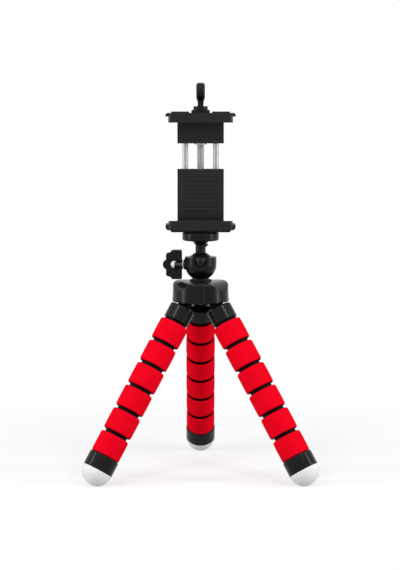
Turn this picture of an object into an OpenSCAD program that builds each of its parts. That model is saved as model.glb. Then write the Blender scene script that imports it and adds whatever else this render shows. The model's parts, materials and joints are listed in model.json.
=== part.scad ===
// Table tripod with three bendable foam-covered legs, a ball head and a screw-driven holder.
// The origin is on the floor under the hub axis; +Z is up and the holder's lips face -Y.

/* [Legs] */
// Angle of each leg from the vertical, in degrees
leg_splay = 32; // [28:0.1:36]
// Distance along a leg from the point where the axes meet to the middle of its first sleeve
first_sleeve = 46.5; // [45:0.1:49]
// Diameter of a foam sleeve
sleeve_d = 20.6; // [19:0.1:22]
// Length of a foam sleeve
sleeve_len = 15.3; // [13:0.1:16]
// Gap between one sleeve and the next, where the leg bends
sleeve_gap = 2.2; // [1.8:0.1:3.5]
// Radius on the outer edges of a foam sleeve
sleeve_round = 1.2; // [0.8:0.1:2]
// Outer diameter of the jacket round the wire
jacket_d = 9; // [7:0.1:10]
// Diameter of the raised rings on the jacket that keep the sleeves apart
ring_d = 15.8; // [12:0.1:17]
// Diameter of the soft wire inside the jacket
wire_d = 4.2; // [3:0.1:5]
// Diameter of the collar at the top of a leg
collar_d = 18.2; // [16:0.1:19]
// Length of that collar
collar_len = 10.8; // [8:0.1:12]
// Gap between that collar and the first sleeve
collar_gap = 1.6; // [1.4:0.1:2.4]
// Diameter of the ferrule at the end of a leg
ferrule_d = 21.2; // [18:0.1:22]
// Length of that ferrule
ferrule_len = 10.6; // [9:0.1:14]
// Room round the jacket in the pieces that are threaded on it
jacket_fit = 0.05; // [0.02:0.01:0.1]

/* [Hub] */
// Radius of the hub drum at its foot
hub_r = 19.6; // [19:0.1:21]
// Height of the hub
hub_h = 13.8; // [13:0.1:16]
// Radius of the shoulder above each leg
shoulder_r = 9.5; // [7:0.1:10]
// Radius round the top edge of the drum
hub_round = 3; // [2:0.1:4]
// Radius of the stub that carries a leg
stub_r = 6.2; // [5.6:0.1:6.8]
// Thickness of the plate under the hub
plate_t = 2.2; // [1.6:0.1:3]
// Radius of the spigot that the head turns on
spigot_r = 4.5; // [4:0.1:5]
// Running room round the spigot
spigot_fit = 0.06; // [0.02:0.01:0.1]

/* [Ball head] */
// Radius of the ball
ball_r = 9; // [8:0.1:9.4]
// Running room round the ball
ball_fit = 0.06; // [0.02:0.01:0.1]
// Outer radius of the cup
cup_r = 11; // [10.4:0.1:12]
// Height of the cup rim above the middle of the ball
cup_rim = 5.4; // [4.5:0.1:6]
// Radius of the stem
stem_r = 3.55; // [3:0.05:3.8]
// Room on each side of the stem in the cup's front notch
notch_room = 0.55; // [0.4:0.05:0.8]
// Radius of the round platform
platform_r = 12.65; // [11:0.05:14]
// Thickness of the platform
platform_t = 5.4; // [4.6:0.1:6]
// Radius of the camera stud, nominal quarter-inch thread
stud_r = 3.1; // [3:0.05:3.175]
// Room round the camera stud
stud_fit = 0.05; // [0.02:0.01:0.1]
// Radius of the lock screw
lock_r = 1.75; // [1.4:0.05:2]
// Running room round the lock screw
lock_fit = 0.05; // [0.02:0.01:0.1]
// Thickness of the wing of both knobs
wing_t = 6; // [5:0.1:7]

/* [Holder] */
// Gap between the two soft pads
jaw_gap = 72; // [66:0.5:80]
// Width of the jaws
jaw_w = 48; // [44:0.5:56]
// Width of the front lips
lip_w = 44; // [40:0.5:46]
// Thickness of the soft pads
pad_t = 0.9; // [0.6:0.1:1.5]
// Height of the lower back column
column_h = 43; // [38:0.5:44]
// Height of the upper back block
block_h = 21; // [18:0.5:21]
// Radius of the two guide rods
rod_r = 2; // [1.5:0.1:2.5]
// Sideways distance of the guide rods from the middle
rod_x = 10.5; // [9:0.1:12]
// Running room round the guide rods
rod_fit = 0.05; // [0.02:0.01:0.1]
// Radius of the lead screw
lead_r = 2.5; // [2:0.1:2.8]
// Running room round the lead screw
lead_fit = 0.06; // [0.02:0.01:0.1]

/* [Hidden] */
$fn = 96;
black = [0.09, 0.09, 0.1];
dark = [0.05, 0.05, 0.055];
red = [0.86, 0.05, 0.12];
white = [0.93, 0.93, 0.92];
steel = [0.75, 0.76, 0.78];
brass = [0.78, 0.62, 0.3];

// Legs: distances u run along a leg from the point where the three axes meet.
leg_azimuth = [90, 210, 330];
sleeve_count = 6;
sleeve_pitch = sleeve_len + sleeve_gap;
bore_r = jacket_d/2 + jacket_fit;
collar_u = first_sleeve - sleeve_len/2 - collar_gap - collar_len;
ferrule_u = first_sleeve + (sleeve_count - 1)*sleeve_pitch + sleeve_len/2;
foot_u = ferrule_u + ferrule_len;
foot_r = ferrule_d/2;
spigot_len = 5;
spigot_foot_r = 7;
jacket_end_u = foot_u - spigot_len - 1.4;
ring_room = 0.05;
stub_u = collar_u - 4.7;
jacket_u = stub_u - 4.8;
wire_u = jacket_u - 1;
apex_z = foot_r + foot_u*cos(leg_splay);

// Hub: the drum stands just above the collars.
hub_drop = 18.2;
hub_z = apex_z - hub_drop;
hub_top = hub_z + hub_h;
hub_taper = 0.7;
hub_crown = 0.5;
hub_over = hub_r + 5;
plate_r = hub_r - 3.1;
plate_hole_r = 13;
plate_screw_r = 1.25;
swivel_r = 2;
swivel_len = 7.5;
swivel_head_r = spigot_r + 0.6;
swivel_head_t = 2.2;
counter_r = swivel_head_r + 0.5;
counter_z = hub_z + plate_t + swivel_head_t + 1.5;
plate_screw_len = 7.5;
plate_head_h = 1.2;
bore_over = 6;
stub_room = 3;

// Ball head
washer_t = 1.2;
neck_r = 5.8;
neck_washer_r = 7.6;
neck_len = 11.6;
ball_z = hub_top + neck_len;
socket_r = ball_r + ball_fit;
notch_r = stem_r + notch_room;
notch_z = 2.8;
notch_flare = 1.3;
stem_len = 16.55;
platform_z = ball_z + stem_len;
cone_r = 6;
cone_h = 3.2;
lug = [3.2, 1.8, 1.1];
lug_x = stem_r - 0.6;
lug_z = platform_z - 5;
platform_top = platform_z + platform_t;
ring_t = 0.8;
seat_z = platform_top + ring_t;
stud_head_r = 5.1;
stud_head_t = 2.2;
stud_top = seat_z + 4.1;

// Lock knob: distances run from the middle of the ball towards -X.
boss_r = 3.6;
boss_x = cup_r + 0.7;
lock_face_x = boss_x + 1.1;
lock_head_x = lock_face_x + 5.3;
lock_head_r = 3.55;
lock_washer_t = 0.8;
lock_tip_x = socket_r + 1.25;
wing_low = 12.8;
wing_mid = 16.4;
wing_tip = 10.1;
wing_side = 6.7;
wing_slant = 1.75;
wing_step = 9.3;
wing_out = 11.1;
wing_bump = 1.8;
wing_nose = 9.9;
wing_nose_r = 3.4;
wing_round = 1.2;

// Holder
base_t = 1.5;
floor_top = 5.3;
lip_top = 8;
lip_y = -11;
lip_in_y = -9;
back_y = 1;
back_end_y = 10;
screw_y = 5.5;
column_top = seat_z + column_h;
bore_floor = seat_z + 2.4;
insert_r = stud_r + 1.5;
insert_h = 4.8;
lead_floor = seat_z + insert_h + 0.4;
close_travel = 16;
grip_z = seat_z + floor_top + pad_t;
upper_z = grip_z + jaw_gap;
plate_top = upper_z + pad_t + 2.5;
block_z = plate_top - block_h;
clip_t = 0.8;
nut_r = lead_r + 1;
nut_h = 10;
rod_end_z = bore_floor + close_travel + 1.5;
lead_end_z = lead_floor + close_travel + 0.5;
knob_washer_t = 2;
knob_z = plate_top + knob_washer_t;
knob_collar_r = 5;
knob_collar_h = 2.6;
web_t = 4;
web_flare = 3;
web_w = 8;
paddle_z = knob_z + 6.4;
paddle_h = 12.2;
paddle_half = 3.2;
dish_depth = 0.6;
tang_r = 1.6;
tang_len = 8;
clip_r = lead_r + 1.7;
knob_washer_r = knob_collar_r + 1.4;
base_w = jaw_w - 8.4;
base_y = lip_in_y + 1;
base_depth = 17;
pad_w = jaw_w - 7;
back_w = 2*rod_x + 11;
back_bevel = 2.5;
rest_t = 0.4;
rest_w = back_w - 5;
rest_round = 2;
rest_edge = 3;
rib_w = 12;
rib_x = 14;
rib_h = 0.9;
lip_drop = 3.2;
cover_w = 2*rod_x + 1;
cover_t = 1.2;
cover_z = seat_z + 7;
cover_h = column_h - 13;
cover_screw_r = 1;
cover_screw_len = 2.4;
cover_head_h = 1.1;
cover_screw_low = cover_z + 4;
cover_screw_high = cover_z + cover_h - 7;
cover_screw_z = [cover_screw_low, cover_screw_high];

// Half outline of a turned bar with rounded outer edges at its foot and its top.
module bar_outline(r, len, foot_round, top_round) {
    difference() {
        square([r, len]);
        translate([r - foot_round, foot_round])
            mirror([0, 1])
                corner_cut(foot_round);
        translate([r - top_round, len - top_round])
            corner_cut(top_round);
    }
}

// The waste outside a quarter circle.
module corner_cut(r) {
    difference() {
        square(r + 1);
        circle(r);
    }
}

// Round bar along +Z with rounded edges.
module turned(r, len, foot_round, top_round) {
    rotate_extrude()
        bar_outline(r, len, foot_round, top_round);
}

// Round bar with a straight bore.
module tube(r, bore, len, foot_round, top_round) {
    difference() {
        turned(r, len, foot_round, top_round);
        translate([0, 0, -1])
            cylinder(r = bore, h = len + 2);
    }
}

// Carries its children from the leg's own axis to the leg's place.
module on_leg(leg) {
    translate([0, 0, apex_z])
        rotate([0, 180 - leg_splay, leg_azimuth[leg - 1]])
            children();
}

module at_leg(leg, u) {
    on_leg(leg)
        translate([0, 0, u])
            children();
}

// Carries its children to the ball, with +Z along the lock screw away from the ball.
module on_lock(x) {
    translate([-x, 0, ball_z])
        rotate([0, -90, 0])
            children();
}

module collar(leg) {
    color(black)
        at_leg(leg, collar_u)
            tube(collar_d/2, bore_r, collar_len, 1, 0.6);
}

module jacket(leg) {
    color(dark)
        at_leg(leg, jacket_u)
            difference() {
                union() {
                    cylinder(d = jacket_d, h = jacket_end_u - jacket_u);
                    translate([0, 0, collar_u + collar_len + ring_room - jacket_u])
                        cylinder(d = ring_d, h = collar_gap - 2*ring_room);
                    for (place = [1:sleeve_count - 1])
                        translate([0, 0, first_sleeve + (place - 1)*sleeve_pitch + sleeve_len/2 + ring_room - jacket_u])
                            cylinder(d = ring_d, h = sleeve_gap - 2*ring_room);
                }
                translate([0, 0, -1])
                    cylinder(d = wire_d, h = jacket_end_u - jacket_u + 2);
            }
}

module wire(leg) {
    color(steel)
        at_leg(leg, wire_u)
            cylinder(d = wire_d, h = jacket_end_u - wire_u);
}

module sleeve(leg, place) {
    color(red)
        at_leg(leg, first_sleeve + (place - 1)*sleeve_pitch - sleeve_len/2)
            tube(sleeve_d/2, bore_r, sleeve_len, sleeve_round, sleeve_round);
}

module ferrule(leg) {
    color(black)
        at_leg(leg, ferrule_u)
            difference() {
                turned(ferrule_d/2, ferrule_len, 1, 0.2);
                translate([0, 0, -1])
                    cylinder(r = bore_r, h = jacket_end_u - ferrule_u + 1);
                translate([0, 0, ferrule_len - spigot_len])
                    cylinder(r = spigot_foot_r + jacket_fit, h = spigot_len + 1);
            }
}

module foot(leg) {
    color(white)
        at_leg(leg, foot_u) {
            intersection() {
                sphere(r = foot_r);
                cylinder(r = foot_r + 1, h = foot_r + 1);
            }
            translate([0, 0, -spigot_len])
                cylinder(r = spigot_foot_r, h = spigot_len + 1);
        }
}

// Space above the floor under one rounded shoulder, cut across the leg's direction.
module shoulder(leg) {
    rotate([0, 0, leg_azimuth[leg - 1]])
        rotate([90, 0, 0])
            translate([0, 0, -hub_over])
                linear_extrude(2*hub_over)
                    difference() {
                        translate([-hub_over, 0])
                            square([hub_over + hub_r, hub_h]);
                        translate([hub_r - shoulder_r, hub_h - shoulder_r])
                            corner_cut(shoulder_r);
                    }
}

// Half outline of the drum: a leaning wall with a rounded top edge.
module drum_outline() {
    wall_r = hub_r - hub_taper*(hub_h - hub_round)/hub_h;
    crown_z = hub_h + hub_crown;
    difference() {
        polygon([[0, 0], [hub_r, 0], [hub_r - hub_taper, crown_z], [0, crown_z]]);
        translate([wall_r - hub_round, crown_z - hub_round])
            corner_cut(hub_round);
    }
}

module hub_shell() {
    color(black)
        difference() {
            translate([0, 0, hub_z])
                intersection() {
                    rotate_extrude()
                        drum_outline();
                    shoulder(1);
                    shoulder(2);
                    shoulder(3);
                }
            translate([0, 0, hub_z - 1])
                cylinder(r = plate_r + jacket_fit, h = plate_t + 1);
            translate([0, 0, hub_z])
                cylinder(r = counter_r, h = counter_z - hub_z);
            translate([0, 0, hub_z])
                cylinder(r = spigot_r + spigot_fit, h = hub_h + 1);
            for (leg = [1:3]) {
                at_leg(leg, jacket_u)
                    cylinder(r = stub_r + jacket_fit, h = stub_u - jacket_u + stub_room);
                at_leg(leg, wire_u)
                    cylinder(r = wire_d/2 + jacket_fit, h = stub_u - wire_u);
                rotate([0, 0, leg_azimuth[leg - 1] + 180])
                    translate([plate_hole_r, 0, hub_z])
                        cylinder(r = plate_screw_r, h = plate_screw_len);
            }
        }
}

// Disc with three slanted stubs; each stub holds the end of a leg's jacket.
module hub_plate() {
    color(dark)
        difference() {
            union() {
                translate([0, 0, hub_z])
                    cylinder(r = plate_r, h = plate_t);
                for (leg = [1:3])
                    at_leg(leg, jacket_u)
                        cylinder(r = stub_r, h = stub_u - jacket_u);
            }
            for (leg = [1:3]) {
                at_leg(leg, jacket_u - bore_over)
                    cylinder(r = bore_r, h = stub_u - jacket_u + 2*bore_over);
                rotate([0, 0, leg_azimuth[leg - 1] + 180])
                    translate([plate_hole_r, 0, hub_z - 1])
                        cylinder(r = plate_screw_r, h = plate_t + 2);
            }
        }
}

module plate_screws() {
    color(steel)
        for (leg = [1:3])
            rotate([0, 0, leg_azimuth[leg - 1] + 180])
                translate([plate_hole_r, 0, hub_z]) {
                    translate([0, 0, -plate_head_h])
                        turned(2*plate_screw_r, plate_head_h, plate_head_h/2, 0.1);
                    cylinder(r = plate_screw_r, h = plate_screw_len);
                }
}

// The waste that rounds the upper corner of the notch; the corner is at the origin.
module flare_cut() {
    difference() {
        translate([-1, -notch_flare])
            square(notch_flare + 1);
        translate([notch_flare, -notch_flare])
            circle(notch_flare);
    }
}

// Cup with a spherical seat, a front notch for the stem, a boss for the lock screw and a turning spigot.
module ball_cup() {
    color(black)
        difference() {
            union() {
                translate([0, 0, ball_z])
                    sphere(r = cup_r);
                translate([0, 0, ball_z])
                    turned(cup_r, cup_rim, 0.01, 0.8);
                translate([0, 0, hub_top + washer_t])
                    cylinder(r = neck_r, h = 4);
                translate([0, 0, counter_z])
                    cylinder(r = spigot_r, h = hub_top + washer_t - counter_z + 1);
                on_lock(cup_r - 2)
                    cylinder(r = boss_r, h = boss_x - cup_r + 2);
            }
            translate([0, 0, ball_z + cup_rim])
                cylinder(r = cup_r + 1, h = cup_r);
            translate([0, 0, ball_z])
                sphere(r = socket_r);
            translate([0, 0, ball_z + notch_z])
                rotate([90, 0, 0])
                    cylinder(r = notch_r, h = cup_r + 1);
            translate([-notch_r, -cup_r - 1, ball_z + notch_z])
                cube([2*notch_r, cup_r + 1, cup_rim]);
            for (side = [0, 1])
                mirror([side, 0, 0])
                    translate([notch_r, 0, ball_z + cup_rim])
                        rotate([90, 0, 0])
                            linear_extrude(cup_r + 1)
                                flare_cut();
            on_lock(socket_r - 2)
                cylinder(r = lock_r + lock_fit, h = boss_x);
            translate([0, 0, counter_z - 1])
                cylinder(r = swivel_r, h = swivel_len + 1);
        }
}

module neck_washer() {
    color(dark)
        translate([0, 0, hub_top])
            tube(neck_washer_r, spigot_r, washer_t, 0.1, 0.4);
}

module swivel_screw() {
    color(steel)
        translate([0, 0, counter_z]) {
            cylinder(r = swivel_r, h = swivel_len);
            translate([0, 0, -swivel_head_t])
                turned(swivel_head_r, swivel_head_t, 0.6, 0.1);
        }
}

module lock_pad() {
    color(white)
        on_lock(socket_r - 0.04)
            cylinder(r = lock_r, h = lock_tip_x - socket_r + 0.04);
}

module lock_screw() {
    color(steel) {
        on_lock(lock_tip_x)
            cylinder(r = lock_r, h = lock_head_x - lock_tip_x);
        on_lock(lock_head_x)
            intersection() {
                sphere(r = lock_head_r);
                cylinder(r = lock_head_r + 1, h = lock_head_r + 1);
            }
    }
}

module lock_washer() {
    color(steel)
        on_lock(lock_face_x - lock_washer_t)
            tube(boss_r - 0.4, lock_r, lock_washer_t, 0.1, 0.1);
}

// Outline of the lock knob's wing; x runs up the wing and y along the screw, away from the cup.
module lock_outline() {
    translate([-wing_low/2, 0])
        square([wing_low, wing_out]);
    translate([-wing_mid/2, 0])
        square([wing_mid, wing_step]);
    difference() {
        polygon([
            [-wing_tip, 0], [wing_tip, 0], [wing_tip, wing_side], [wing_tip - wing_slant, wing_side + wing_slant],
            [wing_slant - wing_tip, wing_side + wing_slant], [-wing_tip, wing_side]
        ]);
        for (side = [0, 1])
            mirror([side, 0])
                translate([wing_tip - wing_round, wing_round])
                    mirror([0, 1])
                        corner_cut(wing_round);
    }
    for (side = [-1, 1])
        translate([side*wing_low/2, wing_step])
            circle(wing_bump);
    translate([0, wing_nose])
        circle(wing_nose_r);
}

// Flat wing with a window on its front side that shows the head and the shank of the screw.
module lock_knob() {
    color(black)
        translate([-lock_face_x, wing_t/2, ball_z])
            rotate([90, 0, 0])
                difference() {
                    linear_extrude(wing_t)
                        rotate([0, 0, 90])
                            lock_outline();
                    translate([0, 0, wing_t/2])
                        rotate([0, -90, 0])
                            translate([0, 0, -1])
                                cylinder(r = lock_r, h = lock_head_x - lock_face_x + 2);
                    translate([lock_face_x - lock_head_x, 0, wing_t/2])
                        sphere(r = lock_head_r);
                    translate([lock_face_x - lock_head_x, 0, wing_t/2])
                        cylinder(r = lock_head_r, h = wing_t);
                    translate([lock_face_x - lock_head_x, -lock_head_r, 1.2])
                        cube([lock_head_x - lock_face_x + 1, 2*lock_head_r, wing_t]);
                }
}

// Ball, stem and flared top, with a small lug beside the stem.
module ball_stem() {
    color(black) {
        translate([0, 0, ball_z]) {
            sphere(r = ball_r);
            cylinder(r = stem_r, h = platform_z - ball_z);
        }
        translate([0, 0, platform_z - cone_h])
            cylinder(r1 = stem_r, r2 = cone_r, h = cone_h);
        translate([lug_x, -lug[1]/2, lug_z])
            rotate([0, -38, 0])
                cube(lug);
    }
}

module platform() {
    color(black)
        difference() {
            translate([0, 0, platform_z])
                turned(platform_r, platform_t, 1.4, 0.5);
            translate([0, 0, platform_z - 1])
                cylinder(r = stud_r, h = platform_t + 2);
            translate([0, 0, platform_z - 1])
                cylinder(r = stud_head_r, h = stud_head_t + 1);
        }
}

module platform_pad() {
    color(dark)
        translate([0, 0, platform_top])
            tube(platform_r - 1.3, stud_r + 0.3, ring_t, 0.1, 0.2);
}

module camera_stud() {
    color(steel) {
        translate([0, 0, platform_z])
            cylinder(r = stud_head_r, h = stud_head_t);
        translate([0, 0, platform_z])
            turned(stud_r, stud_top - platform_z, 0.01, 0.6);
    }
}

// Plan of a front lip: flat in front, bevelled at both ends.
module lip_plan() {
    polygon([
        [-lip_w/2 + 1.6, lip_y], [lip_w/2 - 1.6, lip_y], [lip_w/2, lip_y + 1.5],
        [lip_w/2, lip_in_y], [-lip_w/2, lip_in_y], [-lip_w/2, lip_y + 1.5]
    ]);
}

// Plan of the back column and block: bevelled at the rear corners.
module back_plan() {
    polygon([
        [-back_w/2, back_y + rest_t], [back_w/2, back_y + rest_t], [back_w/2, back_end_y - back_bevel],
        [back_w/2 - back_bevel, back_end_y], [back_bevel - back_w/2, back_end_y],
        [-back_w/2, back_end_y - back_bevel]
    ]);
}

// Raised panel with round corners on the front of the column and the block.
module rest_panel(z0, z1) {
    inner_w = rest_w - 2*rest_round;
    translate([0, back_y + rest_t + 0.5, z0])
        rotate([90, 0, 0])
            linear_extrude(rest_t + 0.5) {
                translate([-inner_w/2, 0])
                    square([inner_w, z1 - z0]);
                translate([-rest_w/2, rest_round])
                    square([rest_w, z1 - z0 - 2*rest_round]);
                for (x = [-inner_w/2, inner_w/2], y = [rest_round, z1 - z0 - rest_round])
                    translate([x, y])
                        circle(rest_round);
            }
}

// Flat bar across the jaw with two bevelled long edges on its lower side.
module jaw_bar(thick, bevel, y0, y1) {
    translate([0, y1, 0])
        rotate([90, 0, 0])
            linear_extrude(y1 - y0)
                polygon([
                    [-jaw_w/2 + bevel, 0], [jaw_w/2 - bevel, 0], [jaw_w/2, bevel],
                    [jaw_w/2, thick], [-jaw_w/2, thick], [-jaw_w/2, bevel]
                ]);
}

// Front view of the shallow base under the lower jaw, with slanted ends.
module base_outline() {
    polygon([
        [-base_w/2, 0], [base_w/2, 0], [base_w/2 + base_t, base_t], [base_w/2 + base_t, base_t + 0.5],
        [-base_w/2 - base_t, base_t + 0.5], [-base_w/2 - base_t, base_t]
    ]);
}

module lower_jaw() {
    color(black)
        difference() {
            union() {
                translate([0, 0, seat_z + base_t])
                    jaw_bar(floor_top - base_t, 1.4, lip_in_y - 0.5, back_y + 6);
                translate([0, 0, seat_z + base_t])
                    linear_extrude(lip_top - base_t)
                        lip_plan();
                translate([0, base_y + base_depth, seat_z])
                    rotate([90, 0, 0])
                        linear_extrude(base_depth)
                            base_outline();
                translate([0, 0, seat_z])
                    linear_extrude(column_h)
                        back_plan();
                rest_panel(grip_z + rest_edge, column_top - rest_edge);
            }
            translate([0, 0, seat_z - 1])
                cylinder(r = insert_r, h = insert_h + 1);
            for (side = [-1, 1])
                translate([side*rod_x, screw_y, bore_floor])
                    cylinder(r = rod_r + rod_fit, h = column_h);
            translate([0, screw_y, lead_floor])
                cylinder(r = lead_r + 0.5, h = column_h);
            translate([0, screw_y, column_top - nut_h])
                cylinder(r = nut_r, h = nut_h + 1);
            for (z = cover_screw_z)
                translate([0, back_end_y + 1, z])
                    rotate([90, 0, 0])
                        cylinder(r = cover_screw_r, h = cover_screw_len - cover_t + 1);
        }
}

// Soft plate with shallow grooves along the jaw.
module grip_pad(z, side) {
    translate([0, 0, z])
        difference() {
            translate([-pad_w/2, lip_in_y + 0.2, 0])
                cube([pad_w, back_y - lip_in_y - 0.4, pad_t]);
            for (k = [0:3])
                translate([-pad_w/2 - 1, lip_in_y + 1.6 + 2*k, side*(pad_t - 0.3)])
                    cube([pad_w + 2, 0.6, pad_t]);
        }
}

module lower_pad() {
    color(dark)
        grip_pad(seat_z + floor_top, 1);
}

module upper_pad() {
    color(dark)
        grip_pad(upper_z, -1);
}

module base_insert() {
    color(brass)
        translate([0, 0, seat_z])
            difference() {
                cylinder(r = insert_r, h = insert_h);
                translate([0, 0, -1])
                    cylinder(r = stud_r + stud_fit, h = stud_top - seat_z + 1.3);
            }
}

module drive_nut() {
    color(brass)
        translate([0, screw_y, column_top - nut_h])
            difference() {
                cylinder(r = nut_r, h = nut_h);
                translate([0, 0, -1])
                    cylinder(r = lead_r + lead_fit, h = nut_h + 2);
            }
}

module back_cover() {
    color(black)
        difference() {
            translate([-cover_w/2, back_end_y, cover_z])
                cube([cover_w, cover_t, cover_h]);
            for (z = cover_screw_z)
                translate([0, back_end_y + cover_t + 1, z])
                    rotate([90, 0, 0])
                        cylinder(r = cover_screw_r, h = cover_t + 2);
        }
}

module cover_screws() {
    color(steel)
        for (z = cover_screw_z)
            translate([0, back_end_y + cover_t, z])
                rotate([-90, 0, 0]) {
                    turned(2*cover_screw_r, cover_head_h, 0.1, cover_head_h/2);
                    translate([0, 0, -cover_screw_len])
                        cylinder(r = cover_screw_r, h = cover_screw_len + cover_head_h/2);
                }
}

module upper_jaw() {
    color(black)
        difference() {
            union() {
                translate([0, 0, plate_top])
                    mirror([0, 0, 1])
                        jaw_bar(plate_top - upper_z - pad_t, 1.2, lip_in_y - 0.5, back_y + 6);
                translate([0, 0, upper_z - lip_drop])
                    linear_extrude(plate_top - upper_z + lip_drop)
                        lip_plan();
                for (side = [-1, 1])
                    translate([side*rib_x - rib_w/2, lip_in_y + 0.5, plate_top - 1])
                        cube([rib_w, base_depth, rib_h + 1]);
                translate([0, 0, block_z])
                    linear_extrude(block_h)
                        back_plan();
                rest_panel(block_z + rest_edge, upper_z - rest_edge);
            }
            for (side = [-1, 1])
                translate([side*rod_x, screw_y, block_z - 1])
                    cylinder(r = rod_r, h = block_h - 1);
            translate([0, screw_y, block_z - 1])
                cylinder(r = lead_r + lead_fit, h = block_h + 2);
        }
}

module guide_rods() {
    color(steel)
        for (side = [-1, 1])
            translate([side*rod_x, screw_y, rod_end_z])
                turned(rod_r, block_z + block_h - 2 - rod_end_z, 0.5, 0.01);
}

// Straight screw with a thinner tang that the knob is pressed on.
module lead_screw() {
    color(steel)
        translate([0, screw_y, lead_end_z]) {
            turned(lead_r, knob_z - lead_end_z, 0.6, 0.01);
            cylinder(r = tang_r, h = knob_z + tang_len - lead_end_z);
        }
}

module screw_clip() {
    color(steel)
        translate([0, screw_y, block_z - clip_t])
            tube(clip_r, lead_r, clip_t, 0.1, 0.1);
}

module knob_washer() {
    color(black)
        translate([0, screw_y, plate_top])
            tube(knob_washer_r, lead_r, knob_washer_t, 0.1, 0.5);
}

// Half outline of the paddle's rim, seen from its edge.
module paddle_outline() {
    translate([0, -wing_t/2])
        bar_outline(paddle_h/2, wing_t, 1.8, 1.8);
}

// Front view of the web: straight above the collar, then widening into the paddle.
module web_outline() {
    rise = paddle_z - knob_z - knob_collar_h;
    polygon([
        [-web_t/2, -0.6], [web_t/2, -0.6], [web_t/2, rise - web_flare/2], [wing_t/2, rise + web_flare],
        [-wing_t/2, rise + web_flare], [-web_t/2, rise - web_flare/2]
    ]);
}

// Flat paddle with round ends, a short web and a round collar.
module clamp_knob() {
    color(black)
        translate([0, screw_y, 0])
            difference() {
                union() {
                    translate([0, 0, knob_z])
                        turned(knob_collar_r, knob_collar_h, 0.1, 0.9);
                    translate([0, web_w/2, knob_z + knob_collar_h])
                        rotate([90, 0, 0])
                            linear_extrude(web_w)
                                web_outline();
                    translate([0, 0, paddle_z + paddle_h/2]) {
                        for (side = [-1, 1])
                            translate([0, side*paddle_half, 0])
                                rotate([0, 90, 0])
                                    rotate_extrude()
                                        paddle_outline();
                        rotate([90, 0, 0])
                            translate([0, 0, -paddle_half])
                                linear_extrude(2*paddle_half)
                                    paddle_section();
                    }
                }
                translate([0, 0, knob_z - 1])
                    cylinder(r = tang_r, h = tang_len + 1);
                for (side = [-1, 1])
                    translate([side*wing_t/2, 0, paddle_z + paddle_h/2])
                        paddle_dish();
            }
}

// Full section across the straight middle of the paddle.
module paddle_section() {
    for (turn = [0, 180])
        rotate([0, 0, turn])
            rotate([0, 0, 90])
                paddle_outline();
}

// Shallow dish in each side of the paddle for the thumb.
module paddle_dish() {
    rotate([0, 90, 0])
        translate([0, 0, -dish_depth]) {
            for (side = [-1, 1])
                translate([0, side*paddle_half, 0])
                    cylinder(r = paddle_h/4, h = 2*dish_depth);
            translate([-paddle_h/4, -paddle_half, 0])
                cube([paddle_h/2, 2*paddle_half, 2*dish_depth]);
        }
}

hub_shell();
hub_plate();
plate_screws();
ball_cup();
neck_washer();
swivel_screw();
lock_pad();
lock_knob();
lock_screw();
lock_washer();
ball_stem();
platform();
platform_pad();
camera_stud();
lower_jaw();
lower_pad();
base_insert();
drive_nut();
back_cover();
cover_screws();
upper_jaw();
upper_pad();
guide_rods();
lead_screw();
clamp_knob();
knob_washer();
screw_clip();
collar(1);  // collar_1
jacket(1);  // jacket_1
wire(1);  // wire_1
sleeve(1, 1);  // sleeve_1_1
sleeve(1, 2);  // sleeve_1_2
sleeve(1, 3);  // sleeve_1_3
sleeve(1, 4);  // sleeve_1_4
sleeve(1, 5);  // sleeve_1_5
sleeve(1, 6);  // sleeve_1_6
ferrule(1);  // ferrule_1
foot(1);  // foot_1
collar(2);  // collar_2
jacket(2);  // jacket_2
wire(2);  // wire_2
sleeve(2, 1);  // sleeve_2_1
sleeve(2, 2);  // sleeve_2_2
sleeve(2, 3);  // sleeve_2_3
sleeve(2, 4);  // sleeve_2_4
sleeve(2, 5);  // sleeve_2_5
sleeve(2, 6);  // sleeve_2_6
ferrule(2);  // ferrule_2
foot(2);  // foot_2
collar(3);  // collar_3
jacket(3);  // jacket_3
wire(3);  // wire_3
sleeve(3, 1);  // sleeve_3_1
sleeve(3, 2);  // sleeve_3_2
sleeve(3, 3);  // sleeve_3_3
sleeve(3, 4);  // sleeve_3_4
sleeve(3, 5);  // sleeve_3_5
sleeve(3, 6);  // sleeve_3_6
ferrule(3);  // ferrule_3
foot(3);  // foot_3
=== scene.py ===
"""Dresses a table tripod: foam sleeves, leg cores, moulded plastic, screws and a plain studio stage."""

import json
from collections import namedtuple
from math import cos, pi, radians, sin

import bmesh
import bpy
from bpy.props import FloatProperty, FloatVectorProperty, PointerProperty
from mathutils import Matrix, Vector


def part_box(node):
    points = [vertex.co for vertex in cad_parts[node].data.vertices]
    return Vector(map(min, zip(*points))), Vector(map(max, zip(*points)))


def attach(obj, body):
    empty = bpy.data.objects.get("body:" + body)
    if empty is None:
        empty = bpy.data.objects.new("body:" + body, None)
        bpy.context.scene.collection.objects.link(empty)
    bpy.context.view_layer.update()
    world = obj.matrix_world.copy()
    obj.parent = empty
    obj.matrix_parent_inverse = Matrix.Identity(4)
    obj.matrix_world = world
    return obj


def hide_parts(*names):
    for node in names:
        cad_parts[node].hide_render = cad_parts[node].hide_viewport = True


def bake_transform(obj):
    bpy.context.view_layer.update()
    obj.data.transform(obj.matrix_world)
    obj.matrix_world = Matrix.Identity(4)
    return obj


bl_info = {
    "name": "Flexible Table Tripod",
    "version": (1, 0, 0),
    "blender": (4, 5, 0),
    "location": "View3D > Sidebar > Tripod",
    "description": "Foam sleeves, leg cores, moulded plastic, screws and a stage for a table tripod",
    "category": "Object",
}

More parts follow.
